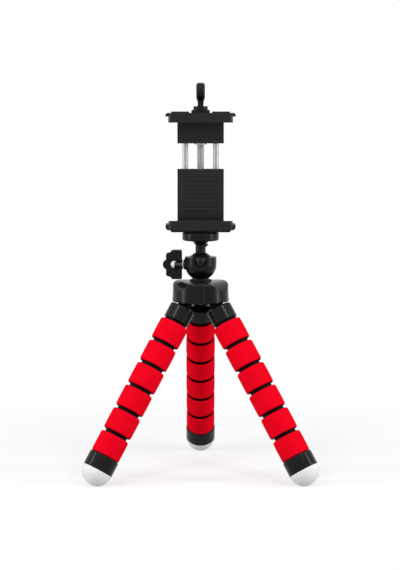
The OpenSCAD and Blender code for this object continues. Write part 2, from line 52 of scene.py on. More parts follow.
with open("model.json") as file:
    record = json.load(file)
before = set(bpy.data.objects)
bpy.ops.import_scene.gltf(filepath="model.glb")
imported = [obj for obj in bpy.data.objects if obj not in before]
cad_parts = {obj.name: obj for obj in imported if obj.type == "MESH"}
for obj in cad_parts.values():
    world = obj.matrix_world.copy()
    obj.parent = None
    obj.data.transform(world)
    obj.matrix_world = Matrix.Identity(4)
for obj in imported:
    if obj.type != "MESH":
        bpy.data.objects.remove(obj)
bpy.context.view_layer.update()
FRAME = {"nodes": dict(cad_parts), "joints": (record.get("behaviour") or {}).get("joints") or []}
JOINTS = {joint["name"]: joint for joint in FRAME["joints"]}
MM = 0.001
LEGS = (1, 2, 3)
SLEEVES = range(1, 7)
KNEES = range(1, 6)
WELD = 0.002 * MM  # points closer than this are one
CLEARANCE = 0.05 * MM  # between a leg's core and the pieces round it
RIM_GAIN = 4.0  # how soon a rounded edge counts as rubbed and takes its painted highlight
CUT_END = "cut_end"  # the attribute that marks the ends of a sleeve for their painted shade
CUT_SHARE = 0.3  # how much of a sleeve's rounded edge is in shade
SCREW_HEIGHT = 0.5  # a small screw's head and shank, against its head's radius
ARM_WIDTH = 0.24  # an arm of a cross recess, against its head's radius
ARM_LENGTH = 1.3
ARM_RISES = (0.95, 0.98)  # middles of the two arms, against the head's height, kept apart for a clean cut
FLOOR_REACH = 6.0
WHITE = (1.0, 1.0, 1.0, 1.0)
IMAGE_HEIGHT = 570
SENSOR = 36.0
Span = namedtuple("Span", "low high outer inner")


def size(name, description, mm):
    """A length that a user may change, given in millimetres and kept in metres."""
    return FloatProperty(
        name=name, description=description, default=mm * MM, min=0.0, subtype="DISTANCE", unit="LENGTH",
        precision=5
    )


def colour(name, description, red, green, blue):
    """A colour that a user may change, in linear light."""
    return FloatVectorProperty(
        name=name, description=description, default=(red, green, blue), min=0.0, max=1.0, subtype="COLOR"
    )


def level(name, description, value, high=1.0):
    """A plain number that a user may change."""
    return FloatProperty(name=name, description=description, default=value, min=0.0, max=high)


class TripodFoam(bpy.types.PropertyGroup):
    """Sizes and colours of the foam sleeves."""

    edge: size("Edge radius", "Radius on the outer edges of a sleeve", 1.2)
    crown: size("Crown", "How far a sleeve swells in its middle", 0.12)
    uneven: size("Unevenness", "How far the skin wanders in and out", 0.07)
    pore: size("Pore size", "Size of the pores in the skin", 0.5)
    bright: colour("Red", "Colour of the skin", 0.96, 0.002, 0.018)
    deep: colour("Deep red", "Colour in the pores and darker patches", 0.72, 0.0006, 0.009)
    # painted shade: the cut ends are red foam like the skin; this near-black colour stands in for the shade
    # deep in the narrow gaps
    painted_end_shade: colour("End shade", "Colour of the cut ends, deep in the gaps", 0.02, 0.0002, 0.0006)


class TripodPlastic(bpy.types.PropertyGroup):
    """Colours and gloss of the moulded pieces."""

    head: colour("Head black", "Colour of the hub and the ball head", 0.0035, 0.0035, 0.0037)
    holder: colour("Holder black", "Colour of the jaws and the top knob", 0.0085, 0.0083, 0.0082)
    leg: colour("Leg black", "Colour of the collars and ferrules", 0.0045, 0.0045, 0.0047)
    foot: colour("Foot white", "Colour of the rounded feet", 0.9, 0.9, 0.89)
    rubber: colour("Rubber black", "Colour of the jackets and pads", 0.0035, 0.0035, 0.0037)
    edge: size("Moulded edge", "Radius on the edges of the moulded pieces", 0.35)
    hub_edge: size("Hub edge", "Radius on the edges of the hub", 0.7)
    seam: size("Mould line", "How far right of the middle the hub's mould line is", 2.2)
    step: size("Lip step", "Half the width of the raised middle of the jaws' lips", 20.7)


class TripodMetal(bpy.types.PropertyGroup):
    """Colours of the metal pieces and the sizes of the threads."""

    steel: colour("Steel", "Colour of the plated steel", 0.34, 0.345, 0.355)
    satin: colour("Satin steel", "Colour of the lock screw's head", 0.62, 0.62, 0.63)
    blackened: colour("Blackened steel", "Colour of the small screws and the lock's shank", 0.06, 0.06, 0.063)
    brass: colour("Brass", "Colour of the nut and the insert", 0.68, 0.47, 0.19)
    pitch: size("Lead pitch", "Pitch of the long screw's thread", 0.8)
    depth: size("Thread depth", "Depth of the long screw's thread", 0.45)


class TripodStage(bpy.types.PropertyGroup):
    """The camera's place and the lights."""

    elevation: FloatProperty(
        name="Elevation", description="Height of the camera above the horizon", default=radians(6.0),
        subtype="ANGLE"
    )
    distance: size("Distance", "From the camera to the hub's axis", 1200)
    scale: level("Scale", "Pixels to a metre at the hub's axis", 1442.7, 10000.0)
    aim_height: size("Aim height", "Height that the middle of the picture shows", 132.5)
    aim_left: size("Aim left", "How far left of the hub's axis the middle of the picture is", 0.4)
    top: level("Top light", "Power of the light above, in watts", 3.2, 100.0)
    side: level("Side lights", "Power of each side light, in watts", 3.7, 100.0)
    front: level("Front lights", "Power of each light above the camera, in watts", 1.9, 100.0)
    fill: level("Fill", "Strength of the light from all round", 0.3, 10.0)
    floor: colour("Floor", "Colour of the floor", 0.6, 0.6, 0.6)
    seen_floor: colour("Seen floor", "Colour of the floor where it shows its shadows", 0.38, 0.38, 0.38)
    lift: level("Floor lift", "How far the floor is lifted towards white for the camera", 0.645)


class Wire:
    """A node's output socket. Arithmetic with it adds Math nodes."""

    def __init__(self, net, socket):
        self.net = net
        self.socket = socket

    def math(self, operation, first, second):
        """The result of one Math node."""
        return self.net.node("ShaderNodeMath", {"operation": operation}, {0: first, 1: second})

    def __add__(self, other):
        return self.math("ADD", self, other)

    def __radd__(self, other):
        return self.math("ADD", other, self)

    def __sub__(self, other):
        return self.math("SUBTRACT", self, other)

    def __rsub__(self, other):
        return self.math("SUBTRACT", other, self)

    def __mul__(self, other):
        return self.math("MULTIPLY", self, other)

    def __rmul__(self, other):
        return self.math("MULTIPLY", other, self)

    def __truediv__(self, other):
        return self.math("DIVIDE", self, other)

    def __pow__(self, other):
        return self.math("POWER", self, other)

    def __abs__(self):
        return self.math("ABSOLUTE", self, 0.0)


class Net:
    """A node tree that is written as calls."""

    def __init__(self, tree):
        self.tree = tree
        tree.nodes.clear()

    def node(self, kind, settings=None, inputs=None, output=0):
        """Adds a node, sets it up, fills or links its sockets and returns one of its outputs."""
        node = self.tree.nodes.new(kind)
        for key, value in (settings or {}).items():
            setattr(node, key, value)
        for key, value in (inputs or {}).items():
            if isinstance(value, Wire):
                self.tree.links.new(value.socket, node.inputs[key])
            else:
                node.inputs[key].default_value = value
        return Wire(self, node.outputs[output]) if node.outputs else None

    def ramp(self, value, low, high, shape="SMOOTHSTEP"):
        """0 below the first value, 1 above the second, and smooth or straight between them."""
        return self.node(
            "ShaderNodeMapRange", {"interpolation_type": shape},
            {"Value": value, "From Min": low, "From Max": high}, output="Result"
        )


class Finish(Net):
    """A material that is worked out from where a point lies on the object."""

    def __init__(self, name):
        self.material = bpy.data.materials.new(name)
        self.material.use_nodes = True
        super().__init__(self.material.node_tree)
        self.place = self.node("ShaderNodeTexCoord", output="Object")

    def noise(self, feature, detail=2.0, stretch=(1.0, 1.0, 1.0)):
        """Soft noise from 0 to 1 with features about this many metres across."""
        place = self.node("ShaderNodeMapping", inputs={"Vector": self.place, "Scale": stretch})
        inputs = {"Vector": place, "Scale": 1 / feature, "Detail": detail}
        return self.node("ShaderNodeTexNoise", inputs=inputs, output="Fac")

    def cells(self, feature):
        """Distance to the middle of the nearest cell, from 0 to about 1."""
        return self.node(
            "ShaderNodeTexVoronoi", inputs={"Vector": self.place, "Scale": 1 / feature}, output="Distance"
        )

    def axis(self, letter):
        """One coordinate of the point, in metres."""
        return self.node("ShaderNodeSeparateXYZ", inputs={0: self.place}, output=letter)

    def mix(self, first, second, share):
        """A colour between two colours, each a plain one or a node's."""
        first, second = (rgb if isinstance(rgb, Wire) else (*rgb, 1.0) for rgb in (first, second))
        return self.node("ShaderNodeMix", {"data_type": "RGBA"}, {0: share, 6: first, 7: second}, output=2)

    def edges(self, radius):
        """The slope of the surface with its edges rounded over, and a mask that is 1 on those edges."""
        soft = self.node("ShaderNodeBevel", {"samples": 6}, {"Radius": radius}, output="Normal")
        plain = self.node("ShaderNodeNewGeometry", output="Normal")
        match = self.node(
            "ShaderNodeVectorMath", {"operation": "DOT_PRODUCT"}, {0: soft, 1: plain}, output="Value"
        )
        lean = RIM_GAIN * (1.0 - match)
        return soft, lean.math("MINIMUM", lean, 1.0)

    def relief(self, height, depth, strength, slope=None):
        """A surface raised by a height from 0 to 1 times a depth."""
        inputs = {"Strength": strength, "Distance": depth, "Height": height}
        if slope:
            inputs["Normal"] = slope
        return self.node("ShaderNodeBump", inputs=inputs, output="Normal")

    def surface(self, **sockets):
        """Ends the material in one shader, with socket names written with underscores."""
        named = {key.replace("_", " "): value for key, value in sockets.items()}
        shader = self.node("ShaderNodeBsdfPrincipled", inputs=named)
        self.node("ShaderNodeOutputMaterial", inputs={"Surface": shader})
        return self.material


def shade(rgb, factor):
    """A colour made lighter or darker."""
    return tuple(min(1.0, factor * part) for part in rgb)


def foam_finish(look):
    """Closed-cell foam: a matt skin with small pores, slow changes of colour, and painted shade on the cut
    ends, which are the same red as the skin.
    """
    finish = Finish("red_foam")
    patches = finish.noise(11 * MM, 3.0)
    pores = finish.cells(look.pore)
    fuzz = finish.noise(0.22 * MM, 2.0)
    tone = 0.55 * patches + 0.3 * fuzz + 0.35 * pores
    # painted shade: the marked cut ends take the dark end colour, standing in for the shade in the gaps
    # between sleeves
    ends = finish.node("ShaderNodeAttribute", {"attribute_name": CUT_END}, output="Fac")
    return finish.surface(
        Base_Color=finish.mix(finish.mix(look.deep, look.bright, tone), look.painted_end_shade, ends),
        Roughness=0.72 + 0.2 * fuzz,
        Normal=finish.relief(0.6 * fuzz + 0.4 * pores, 0.09 * MM, 0.5),
        Specular_IOR_Level=0.02,
    )


def plastic_finish(name, rgb, gloss, edge, seam=None):
    """Moulded black plastic: fine grain, smoother patches, edges lightened both as rubbed wear and as a
    painted highlight, and a mould line in front.
    """
    finish = Finish(name)
    rubbed = finish.noise(14 * MM, 4.0)
    fine = finish.noise(0.3 * MM, 2.0)
    slope, rim_wear_and_highlight = finish.edges(edge)
    raised = 0.05 * fine
    if seam:
        line = 1.0 - finish.ramp(abs(finish.axis("X") - seam), 0.05 * MM, 0.5 * MM)
        front = 1.0 - finish.ramp(finish.axis("Y"), -9 * MM, -7 * MM)
        raised = raised + line * front
    # the rounded edges are lighter partly as rubbed wear and partly as a painted highlight of the light they
    # catch
    return finish.surface(
        Base_Color=finish.mix(shade(rgb, 0.75), shade(rgb, 2.4), 0.3 * rubbed + 0.2 * fine + 0.5 * rim_wear_and_highlight),
        Roughness=gloss + 0.1 * rubbed + 0.06 * fine - 0.06 * rim_wear_and_highlight,
        Normal=finish.relief(raised, 0.4 * MM, 0.7, slope),
        Specular_IOR_Level=0.145,
    )


def lined_finish(name, rgb, edge, step):
    """Matt plastic of the holder: fine lines, edges lightened both as rubbed wear and as a painted highlight,
    lips with stepped ends that carry a painted highlight, and grip grooves.
    """
    finish = Finish(name)
    lines = finish.noise(0.35 * MM, 2.0, (0.04, 1.0, 1.0))
    fine = finish.noise(0.3 * MM, 2.0)
    slope, rim_wear_and_highlight = finish.edges(edge)
    across = abs(finish.axis("X"))
    ends = finish.ramp(across, step, step + 1.1 * MM, "LINEAR")
    # painted highlight: a bright band on the slanted ends of the lips' raised middle, where the chamfers
    # catch the light
    painted_step_highlight = 4.0 * ends * (1.0 - ends)
    grip = grooves(finish, across)
    # colour: fine lines, rims lighter as rubbed wear and as a painted highlight, and the painted highlight on
    # the lips' stepped ends
    return finish.surface(
        Base_Color=finish.mix(
            shade(rgb, 0.5), shade(rgb, 9.0), 0.09 * lines + 0.03 * fine + 0.3 * rim_wear_and_highlight + 0.85 * painted_step_highlight
        ),
        Roughness=0.4 + 0.16 * lines - 0.12 * rim_wear_and_highlight - 0.2 * painted_step_highlight,
        Normal=finish.relief(0.014 * lines + 0.006 * fine - ends - 0.4 * grip, 0.8 * MM, 1.0, slope),
        Specular_IOR_Level=0.2,
    )


def grooves(finish, across):
    """Level grooves in the front face of the holder's column, between the lower pad and the nut."""
    pitch = 3 * MM
    half_width = 11.6 * MM
    face = 1.4 * MM
    blur = 0.2 * MM
    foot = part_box("lower_pad")[1][2]
    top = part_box("drive_nut")[1][2]
    tall = top - foot
    height = finish.axis("Z")
    wave = height.math("PINGPONG", height, pitch / 2)
    off_middle = abs(height - (foot + top) / 2)
    inside = 1.0 - finish.ramp(across, half_width, half_width + blur)
    inside = inside * (1.0 - finish.ramp(off_middle, 0.36 * tall, 0.37 * tall))
    front = 1.0 - finish.ramp(finish.axis("Y"), face, face + blur)
    return inside * front * (1.0 - finish.ramp(wave, 0.12 * MM, 0.45 * MM))


def rubber_finish(name, rgb, roughness):
    """Soft rubber with a dusty, uneven surface."""
    finish = Finish(name)
    dust = finish.noise(4 * MM, 4.0)
    fine = finish.noise(0.18 * MM, 1.0)
    return finish.surface(
        Base_Color=finish.mix(shade(rgb, 0.92), shade(rgb, 1.05), 0.5 * dust + 0.5 * fine),
        Roughness=roughness + 0.12 * dust,
        Normal=finish.relief(fine, 0.02 * MM, 0.3),
        Specular_IOR_Level=0.06,
    )


def metal_finish(name, rgb, roughness):
    """Bright turned metal with fine marks and slightly duller patches."""
    finish = Finish(name)
    marks = finish.noise(0.3 * MM, 3.0, (0.2, 0.2, 1.0))
    dull = finish.noise(3 * MM, 3.0)
    return finish.surface(
        Base_Color=finish.mix(shade(rgb, 0.86), shade(rgb, 1.12), 0.5 * marks + 0.5 * dull),
        Metallic=1.0,
        Roughness=roughness + 0.12 * marks + 0.1 * dull,
        Normal=finish.relief(marks, 0.01 * MM, 0.25),
    )


def lock_finish(pale, dark):
    """A screw with a dark shank and a satin head."""
    finish = Finish("lock_steel")
    low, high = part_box("lock_screw")
    foot = low[0] + (high[1] - low[1]) / 2
    marks = finish.noise(0.3 * MM, 3.0, (1.0, 0.2, 0.2))
    head = 1.0 - finish.ramp(finish.axis("X"), foot - 0.02 * MM, foot + 0.02 * MM)
    return finish.surface(
        Base_Color=finish.mix(dark, pale, head * (0.9 + 0.1 * marks)),
        Metallic=1.0,
        Roughness=0.3 + 0.22 * head + 0.1 * marks,
        Normal=finish.relief(marks, 0.01 * MM, 0.25),
    )


class Recipe(Net):
    """A Geometry Nodes tree whose sizes are named inputs."""

    def __init__(self, name, *sizes):
        super().__init__(bpy.data.node_groups.new(name, "GeometryNodeTree"))
        face = self.tree.interface
        face.new_socket("Points", in_out="INPUT", socket_type="NodeSocketGeometry")
        face.new_socket("Material", in_out="INPUT", socket_type="NodeSocketMaterial")
        for label in sizes:
            face.new_socket(label, in_out="INPUT", socket_type="NodeSocketFloat")
        face.new_socket("Mesh", in_out="OUTPUT", socket_type="NodeSocketGeometry")
        self.entry = self.tree.nodes.new("NodeGroupInput")

    def given(self, label):
        """The input of that name."""
        return Wire(self, self.entry.outputs[label])

    def join(self, *parts):
        """Several geometries as one."""
        joined = self.node("GeometryNodeJoinGeometry")
        for part in parts:
            self.tree.links.new(part.socket, joined.socket.node.inputs[0])
        return joined

    def bar(self, radius, foot, length, around=40, rings=1):
        """A round bar that stands on a height."""
        rod = self.node(
            "GeometryNodeMeshCylinder",
            inputs={"Vertices": around, "Fill Segments": rings, "Radius": radius, "Depth": length}
        )
        middle = self.node("ShaderNodeCombineXYZ", inputs={"Z": length * 0.5 + foot})
        return self.node("GeometryNodeTransform", inputs={"Geometry": rod, "Translation": middle})

    def end(self, geometry):
        """Closes the tree with a plain, painted mesh."""
        whole = self.node("GeometryNodeRealizeInstances", inputs={"Geometry": geometry})
        smooth = self.node("GeometryNodeSetShadeSmooth", inputs={"Geometry": whole})
        painted = self.node(
            "GeometryNodeSetMaterial", inputs={"Geometry": smooth, "Material": self.given("Material")}
        )
        self.node("NodeGroupOutput", inputs={"Mesh": painted})

    def make(self, name, material, points=(), **sizes):
        """Runs the tree with these sizes and returns the mesh that comes out."""
        seed = bpy.data.meshes.new(name)
        seed.from_pydata([tuple(point) for point in points], [], [])
        maker = bpy.data.objects.new(name, seed)
        bpy.context.scene.collection.objects.link(maker)
        modifier = maker.modifiers.new("form", "NODES")
        modifier.node_group = self.tree
        sizes["Material"] = material
        for socket in self.tree.interface.items_tree:
            if socket.in_out == "INPUT" and socket.name in sizes:
                modifier[socket.identifier] = sizes[socket.name]
        graph = bpy.context.evaluated_depsgraph_get()
        mesh = bpy.data.meshes.new_from_object(maker.evaluated_get(graph), depsgraph=graph)
        maker.modifiers.remove(modifier)
        bpy.data.objects.remove(maker)
        return mesh


def sleeve_recipe():
    """A tube of foam: a round-cornered wall swept round a ring, swollen a little and made uneven."""
    recipe = Recipe("foam_sleeve", "Radius", "Bore", "Length", "Edge", "Crown", "Uneven", "Seed")
    radius, bore, length = recipe.given("Radius"), recipe.given("Bore"), recipe.given("Length")
    ring = recipe.node(
        "GeometryNodeCurvePrimitiveCircle", inputs={"Resolution": 112, "Radius": (radius + bore) * 0.5}
    )
    wall = recipe.node(
        "GeometryNodeCurvePrimitiveQuadrilateral", inputs={"Width": radius - bore, "Height": length}
    )
    rounded = recipe.node(
        "GeometryNodeFilletCurve", {"mode": "POLY"},
        {"Curve": wall, "Count": 10, "Radius": recipe.given("Edge"), "Limit Radius": True}
    )
    section = recipe.node("GeometryNodeResampleCurve", inputs={"Curve": rounded, "Count": 88})
    tube = recipe.node("GeometryNodeCurveToMesh", inputs={"Curve": ring, "Profile Curve": section})
    place = recipe.node("GeometryNodeInputPosition")
    flat = recipe.node("ShaderNodeVectorMath", {"operation": "MULTIPLY"}, {0: place, 1: (1.0, 1.0, 0.0)})
    out = recipe.node("ShaderNodeVectorMath", {"operation": "NORMALIZE"}, {0: flat})
    height = recipe.node("ShaderNodeSeparateXYZ", inputs={0: place}, output="Z")
    share = height * 2.0 / length
    # marks the cut ends and the inner part of their rounded edges, where the foam finish paints shade
    cut = recipe.ramp(length * 0.5 - abs(height), recipe.given("Edge") * CUT_SHARE, 0.0)
    marked = recipe.node(
        "GeometryNodeStoreNamedAttribute", inputs={"Geometry": tube, "Name": CUT_END, "Value": cut}
    )
    wander = recipe.node(
        "ShaderNodeTexNoise", {"noise_dimensions": "4D"},
        {"Vector": place, "W": recipe.given("Seed"), "Scale": 1 / (5 * MM), "Detail": 2.0}, output="Fac"
    )
    swell = recipe.given("Crown") * (0.0 - share * share) + recipe.given("Uneven") * (wander - 1.0)
    offset = recipe.node("ShaderNodeVectorMath", {"operation": "SCALE"}, {0: out, "Scale": swell})
    recipe.end(recipe.node("GeometryNodeSetPosition", inputs={"Geometry": marked, "Offset": offset}))
    return recipe


def thread_recipe():
    """A screw thread: a thinner core with a rounded ridge wound round it, and a plain tang above."""
    recipe = Recipe("screw_thread", "Radius", "Depth", "Pitch", "Length", "Tang", "Reach")
    radius, depth, length = recipe.given("Radius"), recipe.given("Depth"), recipe.given("Length")
    ridge = recipe.given("Pitch") * 0.32
    helix = recipe.node(
        "GeometryNodeCurveSpiral",
        inputs={"Resolution": 20, "Rotations": (length - ridge * 2.0) / recipe.given("Pitch"),
                "Start Radius": radius - ridge, "End Radius": radius - ridge, "Height": length - ridge * 2.0}
    )
    bead = recipe.node("GeometryNodeCurvePrimitiveCircle", inputs={"Resolution": 8, "Radius": ridge})
    wound = recipe.node(
        "GeometryNodeCurveToMesh", inputs={"Curve": helix, "Profile Curve": bead, "Fill Caps": True}
    )
    lifted = recipe.node("ShaderNodeCombineXYZ", inputs={"Z": ridge})
    coil = recipe.node("GeometryNodeTransform", inputs={"Geometry": wound, "Translation": lifted})
    core = recipe.bar(radius - depth, 0.0, length)
    tang = recipe.bar(recipe.given("Tang"), length, recipe.given("Reach"))
    recipe.end(recipe.join(coil, core, tang))
    return recipe


def screw_recipe():
    """Screws with domed heads and cross recesses, one on each point, heads towards +Z."""
    recipe = Recipe("cross_screw", "Head", "Height", "Shank", "Length")
    head, height, length = recipe.given("Head"), recipe.given("Height"), recipe.given("Length")
    disc = recipe.bar(head, 0.0, height, 48, 8)
    place = recipe.node("GeometryNodeInputPosition")
    flat = recipe.node("ShaderNodeVectorMath", {"operation": "MULTIPLY"}, {0: place, 1: (1.0, 1.0, 0.0)})
    share = recipe.node("ShaderNodeVectorMath", {"operation": "LENGTH"}, {0: flat}, output="Value") / head
    above = recipe.node("ShaderNodeSeparateXYZ", inputs={0: place}, output="Z") / height
    drop = recipe.node("ShaderNodeCombineXYZ", inputs={"Z": above * share ** 3.0 * height * -0.5})
    dome = recipe.node("GeometryNodeSetPosition", inputs={"Geometry": disc, "Offset": drop})
    for wide, deep, rise in zip((ARM_WIDTH, ARM_LENGTH), (ARM_LENGTH, ARM_WIDTH), ARM_RISES):
        span = recipe.node("ShaderNodeCombineXYZ", inputs={"X": head * wide, "Y": head * deep, "Z": height})
        arm = recipe.node("GeometryNodeMeshCube", inputs={"Size": span})
        lift = recipe.node("ShaderNodeCombineXYZ", inputs={"Z": height * rise})
        tool = recipe.node("GeometryNodeTransform", inputs={"Geometry": arm, "Translation": lift})
        dome = recipe.node(
            "GeometryNodeMeshBoolean", {"operation": "DIFFERENCE", "solver": "MANIFOLD"},
            {"Mesh 1": dome, "Mesh 2": tool}
        )
    screw = recipe.join(dome, recipe.bar(recipe.given("Shank"), 0.0 - length, length, 32))
    points = recipe.given("Points")
    recipe.end(recipe.node("GeometryNodeInstanceOnPoints", inputs={"Points": points, "Instance": screw}))
    return recipe


class Leg:
    """A leg's own axes, read from its joints. Heights run down the leg from the fold at the hub."""

    def __init__(self, number):
        self.number = number
        parts = [f"leg_{number}_part_{knee}" for knee in KNEES]
        bends = [f"leg_{number}_bend_{knee}" for knee in KNEES]
        self.bodies = ["hub", f"leg_{number}_top", *parts, f"leg_{number}_end"]
        names = [f"leg_{number}_fold", f"leg_{number}_swing", *bends]
        points = [Vector(JOINTS[name]["pos_m"]) for name in names]
        down = (points[-1] - points[0]).normalized()
        side = Vector(JOINTS[names[0]]["axis"]).normalized()
        turn = Matrix((side, down.cross(side), down)).transposed()
        self.place = Matrix.Translation(points[0]) @ turn.to_4x4()
        self.knees = [(point - points[0]).dot(down) for point in points]

    def span(self, node):
        """A node's lowest and highest height, and its largest and smallest radius, in the leg's axes."""
        local = self.place.inverted()
        points = [local @ vertex.co for vertex in FRAME["nodes"][node].data.vertices]
        heights = [point.z for point in points]
        radii = [point.xy.length for point in points]
        return Span(min(heights), max(heights), max(radii), min(radii))

    def point(self, height):
        """A point on the leg's axis."""
        return self.place @ Vector((0.0, 0.0, height))


def add_piece(name, mesh, material=None):
    """Adds a mesh to the scene as a piece."""
    piece = bpy.data.objects.new(name, mesh)
    if material:
        mesh.materials.clear()
        mesh.materials.append(material)
    bpy.context.scene.collection.objects.link(piece)
    return piece


def stand_for(piece, body, slot, *nodes):
    """Lets a piece ride on a body in place of CAD nodes."""
    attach(piece, body)
    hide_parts(*nodes)


def paint(material, *nodes):
    """Gives CAD nodes another material."""
    for node in nodes:
        mesh = FRAME["nodes"][node].data
        mesh.materials.clear()
        mesh.materials.append(material)


def islands(node, turn):
    """The lowest and highest corners of each separate solid of a CAD node, in turned axes."""
    form = bmesh.new()
    form.from_mesh(FRAME["nodes"][node].data)
    bmesh.ops.remove_doubles(form, verts=form.verts, dist=WELD)
    left = dict.fromkeys(form.verts)
    boxes = []
    while left:
        reached = [left.popitem()[0]]
        for vertex in reached:
            near = [edge.other_vert(vertex) for edge in vertex.link_edges]
            fresh = [other for other in near if other in left]
            for other in fresh:
                del left[other]
            reached.extend(fresh)
        columns = list(zip(*(turn @ vertex.co for vertex in reached)))
        boxes.append([Vector([pick(column) for column in columns]) for pick in (min, max)])
    form.free()
    return boxes


def turned(name, outline, place, around=40, sharp=radians(35)):
    """Spins an outline of (radius, height) pairs, which starts and ends on the axis, into a closed mesh."""
    form = bmesh.new()
    rings = []
    for radius, height in outline:
        count = 1 if radius < WELD else around
        angles = [2 * pi * step / around for step in range(count)]
        rings.append([form.verts.new((radius * cos(a), radius * sin(a), height)) for a in angles])
    for low, high in zip(rings, rings[1:]):
        for step in range(around):
            follow = (step + 1) % around
            foot = [low[step % len(low)], low[follow % len(low)]]
            head = [high[follow % len(high)], high[step % len(high)]]
            form.faces.new(dict.fromkeys(foot + head))
    bmesh.ops.recalc_face_normals(form, faces=form.faces)
    for face in form.faces:
        face.smooth = True
    for edge in form.edges:
        edge.smooth = edge.calc_face_angle(0.0) < sharp
    form.transform(place)
    mesh = bpy.data.meshes.new(name)
    form.to_mesh(mesh)
    form.free()
    return mesh


class TRIPOD_OT_foam_sleeves(bpy.types.Operator):
    """Make the red foam sleeves of all three legs"""

    bl_idname = "tripod.foam_sleeves"
    bl_label = "Foam sleeves"

    def execute(self, context):
        look = context.scene.tripod_foam
        material = foam_finish(look)
        recipe = sleeve_recipe()
        for leg in map(Leg, LEGS):
            for number in SLEEVES:
                node = f"sleeve_{leg.number}_{number}"
                low, high, radius, bore = leg.span(node)
                mesh = recipe.make(
                    "foam", material, Radius=radius, Bore=bore, Length=high - low, Edge=look.edge,
                    Crown=look.crown, Uneven=look.uneven, Seed=float(leg.number * 10 + number)
                )
                mesh.transform(leg.place @ Matrix.Translation((0.0, 0.0, (low + high) / 2)))
                piece = add_piece(f"foam_{leg.number}_{number}", mesh)
                stand_for(piece, leg.bodies[number + 1], "foam", node)
        return {"FINISHED"}


class TRIPOD_OT_leg_cores(bpy.types.Operator):
    """Make the black cores that run through the legs, one stretch for each joint that they bend at"""

    bl_idname = "tripod.leg_cores"
    bl_label = "Leg cores"

    def execute(self, context):
        material = rubber_finish("jacket_rubber", context.scene.tripod_plastic.rubber, 0.5)
        for leg in map(Leg, LEGS):
            nodes = (f"jacket_{leg.number}", f"wire_{leg.number}")
            jacket = leg.span(nodes[0])
            covers = [f"collar_{leg.number}", *(f"sleeve_{leg.number}_{number}" for number in SLEEVES)]
            spans = [leg.span(cover) for cover in covers]
            thin = spans[1].inner - CLEARANCE
            cuts = [jacket.low, *((span.low + span.high) / 2 for span in spans[:-1]), jacket.high]
            for number, knee in enumerate(leg.knees):
                gap = spans[number].low - knee
                ring = jacket.outer if number else thin
                outline = self.stretch(cuts[number], cuts[number + 1], knee, gap, thin, ring)
                mesh = turned("core", outline, leg.place)
                piece = add_piece(f"leg_core_{leg.number}_{number + 1}", mesh, material)
                leg.bodies[number + 1]
                leg.point(knee - gap)
                leg.point(knee + gap)
                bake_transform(piece)
                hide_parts(*nodes)
        return {"FINISHED"}

    @staticmethod
    def stretch(low, high, knee, gap, thin, ring):
        """Outline of one stretch: close steps where it bends, and a round-edged ring between two sleeves."""
        half = gap - CLEARANCE
        corner = 0.3 * MM
        steps = [(ring, knee + (half - corner) * step / 5) for step in range(-5, 6)]
        if ring > thin:
            steps = [(thin, knee - half), (ring - corner, knee - half), *steps]
            steps += [(ring - corner, knee + half), (thin, knee + half)]
        start = [(0.0, low), (thin, low), (thin, knee - gap)]
        end = [(thin, knee + gap), (thin, high), (0.0, high)]
        return [*start, *steps, *end]


class TRIPOD_OT_leg_ends(bpy.types.Operator):
    """Finish the collars, ferrules and feet"""

    bl_idname = "tripod.leg_ends"
    bl_label = "Collars, ferrules and feet"

    def execute(self, context):
        look = context.scene.tripod_plastic
        paint(
            plastic_finish("leg_plastic", look.leg, 0.15, look.edge),
            *(f"{part}_{leg}" for part in ("collar", "ferrule") for leg in LEGS)
        )
        paint(rubber_finish("foot_rubber", look.foot, 0.42), *(f"foot_{leg}" for leg in LEGS))
        return {"FINISHED"}


class TRIPOD_OT_head(bpy.types.Operator):
    """Finish the hub, the ball head and its lock"""

    bl_idname = "tripod.head"
    bl_label = "Hub and ball head"

    def execute(self, context):
        look = context.scene.tripod_plastic
        paint(
            plastic_finish("head_plastic", look.head, 0.19, look.edge),
            "hub_plate", "ball_cup", "lock_knob", "ball_stem", "platform"
        )
        paint(plastic_finish("hub_plastic", look.head, 0.17, look.hub_edge, look.seam), "hub_shell")
        paint(plastic_finish("nylon", look.head, 0.4, look.edge), "neck_washer", "lock_pad", "knob_washer")
        return {"FINISHED"}


class TRIPOD_OT_holder(bpy.types.Operator):
    """Finish the two jaws, their pads and the top knob"""

    bl_idname = "tripod.holder"
    bl_label = "Holder"

    def execute(self, context):
        look = context.scene.tripod_plastic
        grained = lined_finish("holder_plastic", look.holder, look.edge, look.step)
        paint(grained, "lower_jaw", "upper_jaw", "back_cover")
        paint(plastic_finish("knob_plastic", look.head, 0.25, look.edge), "clamp_knob")
        paint(rubber_finish("pad_rubber", look.rubber, 0.6), "platform_pad", "lower_pad", "upper_pad")
        return {"FINISHED"}


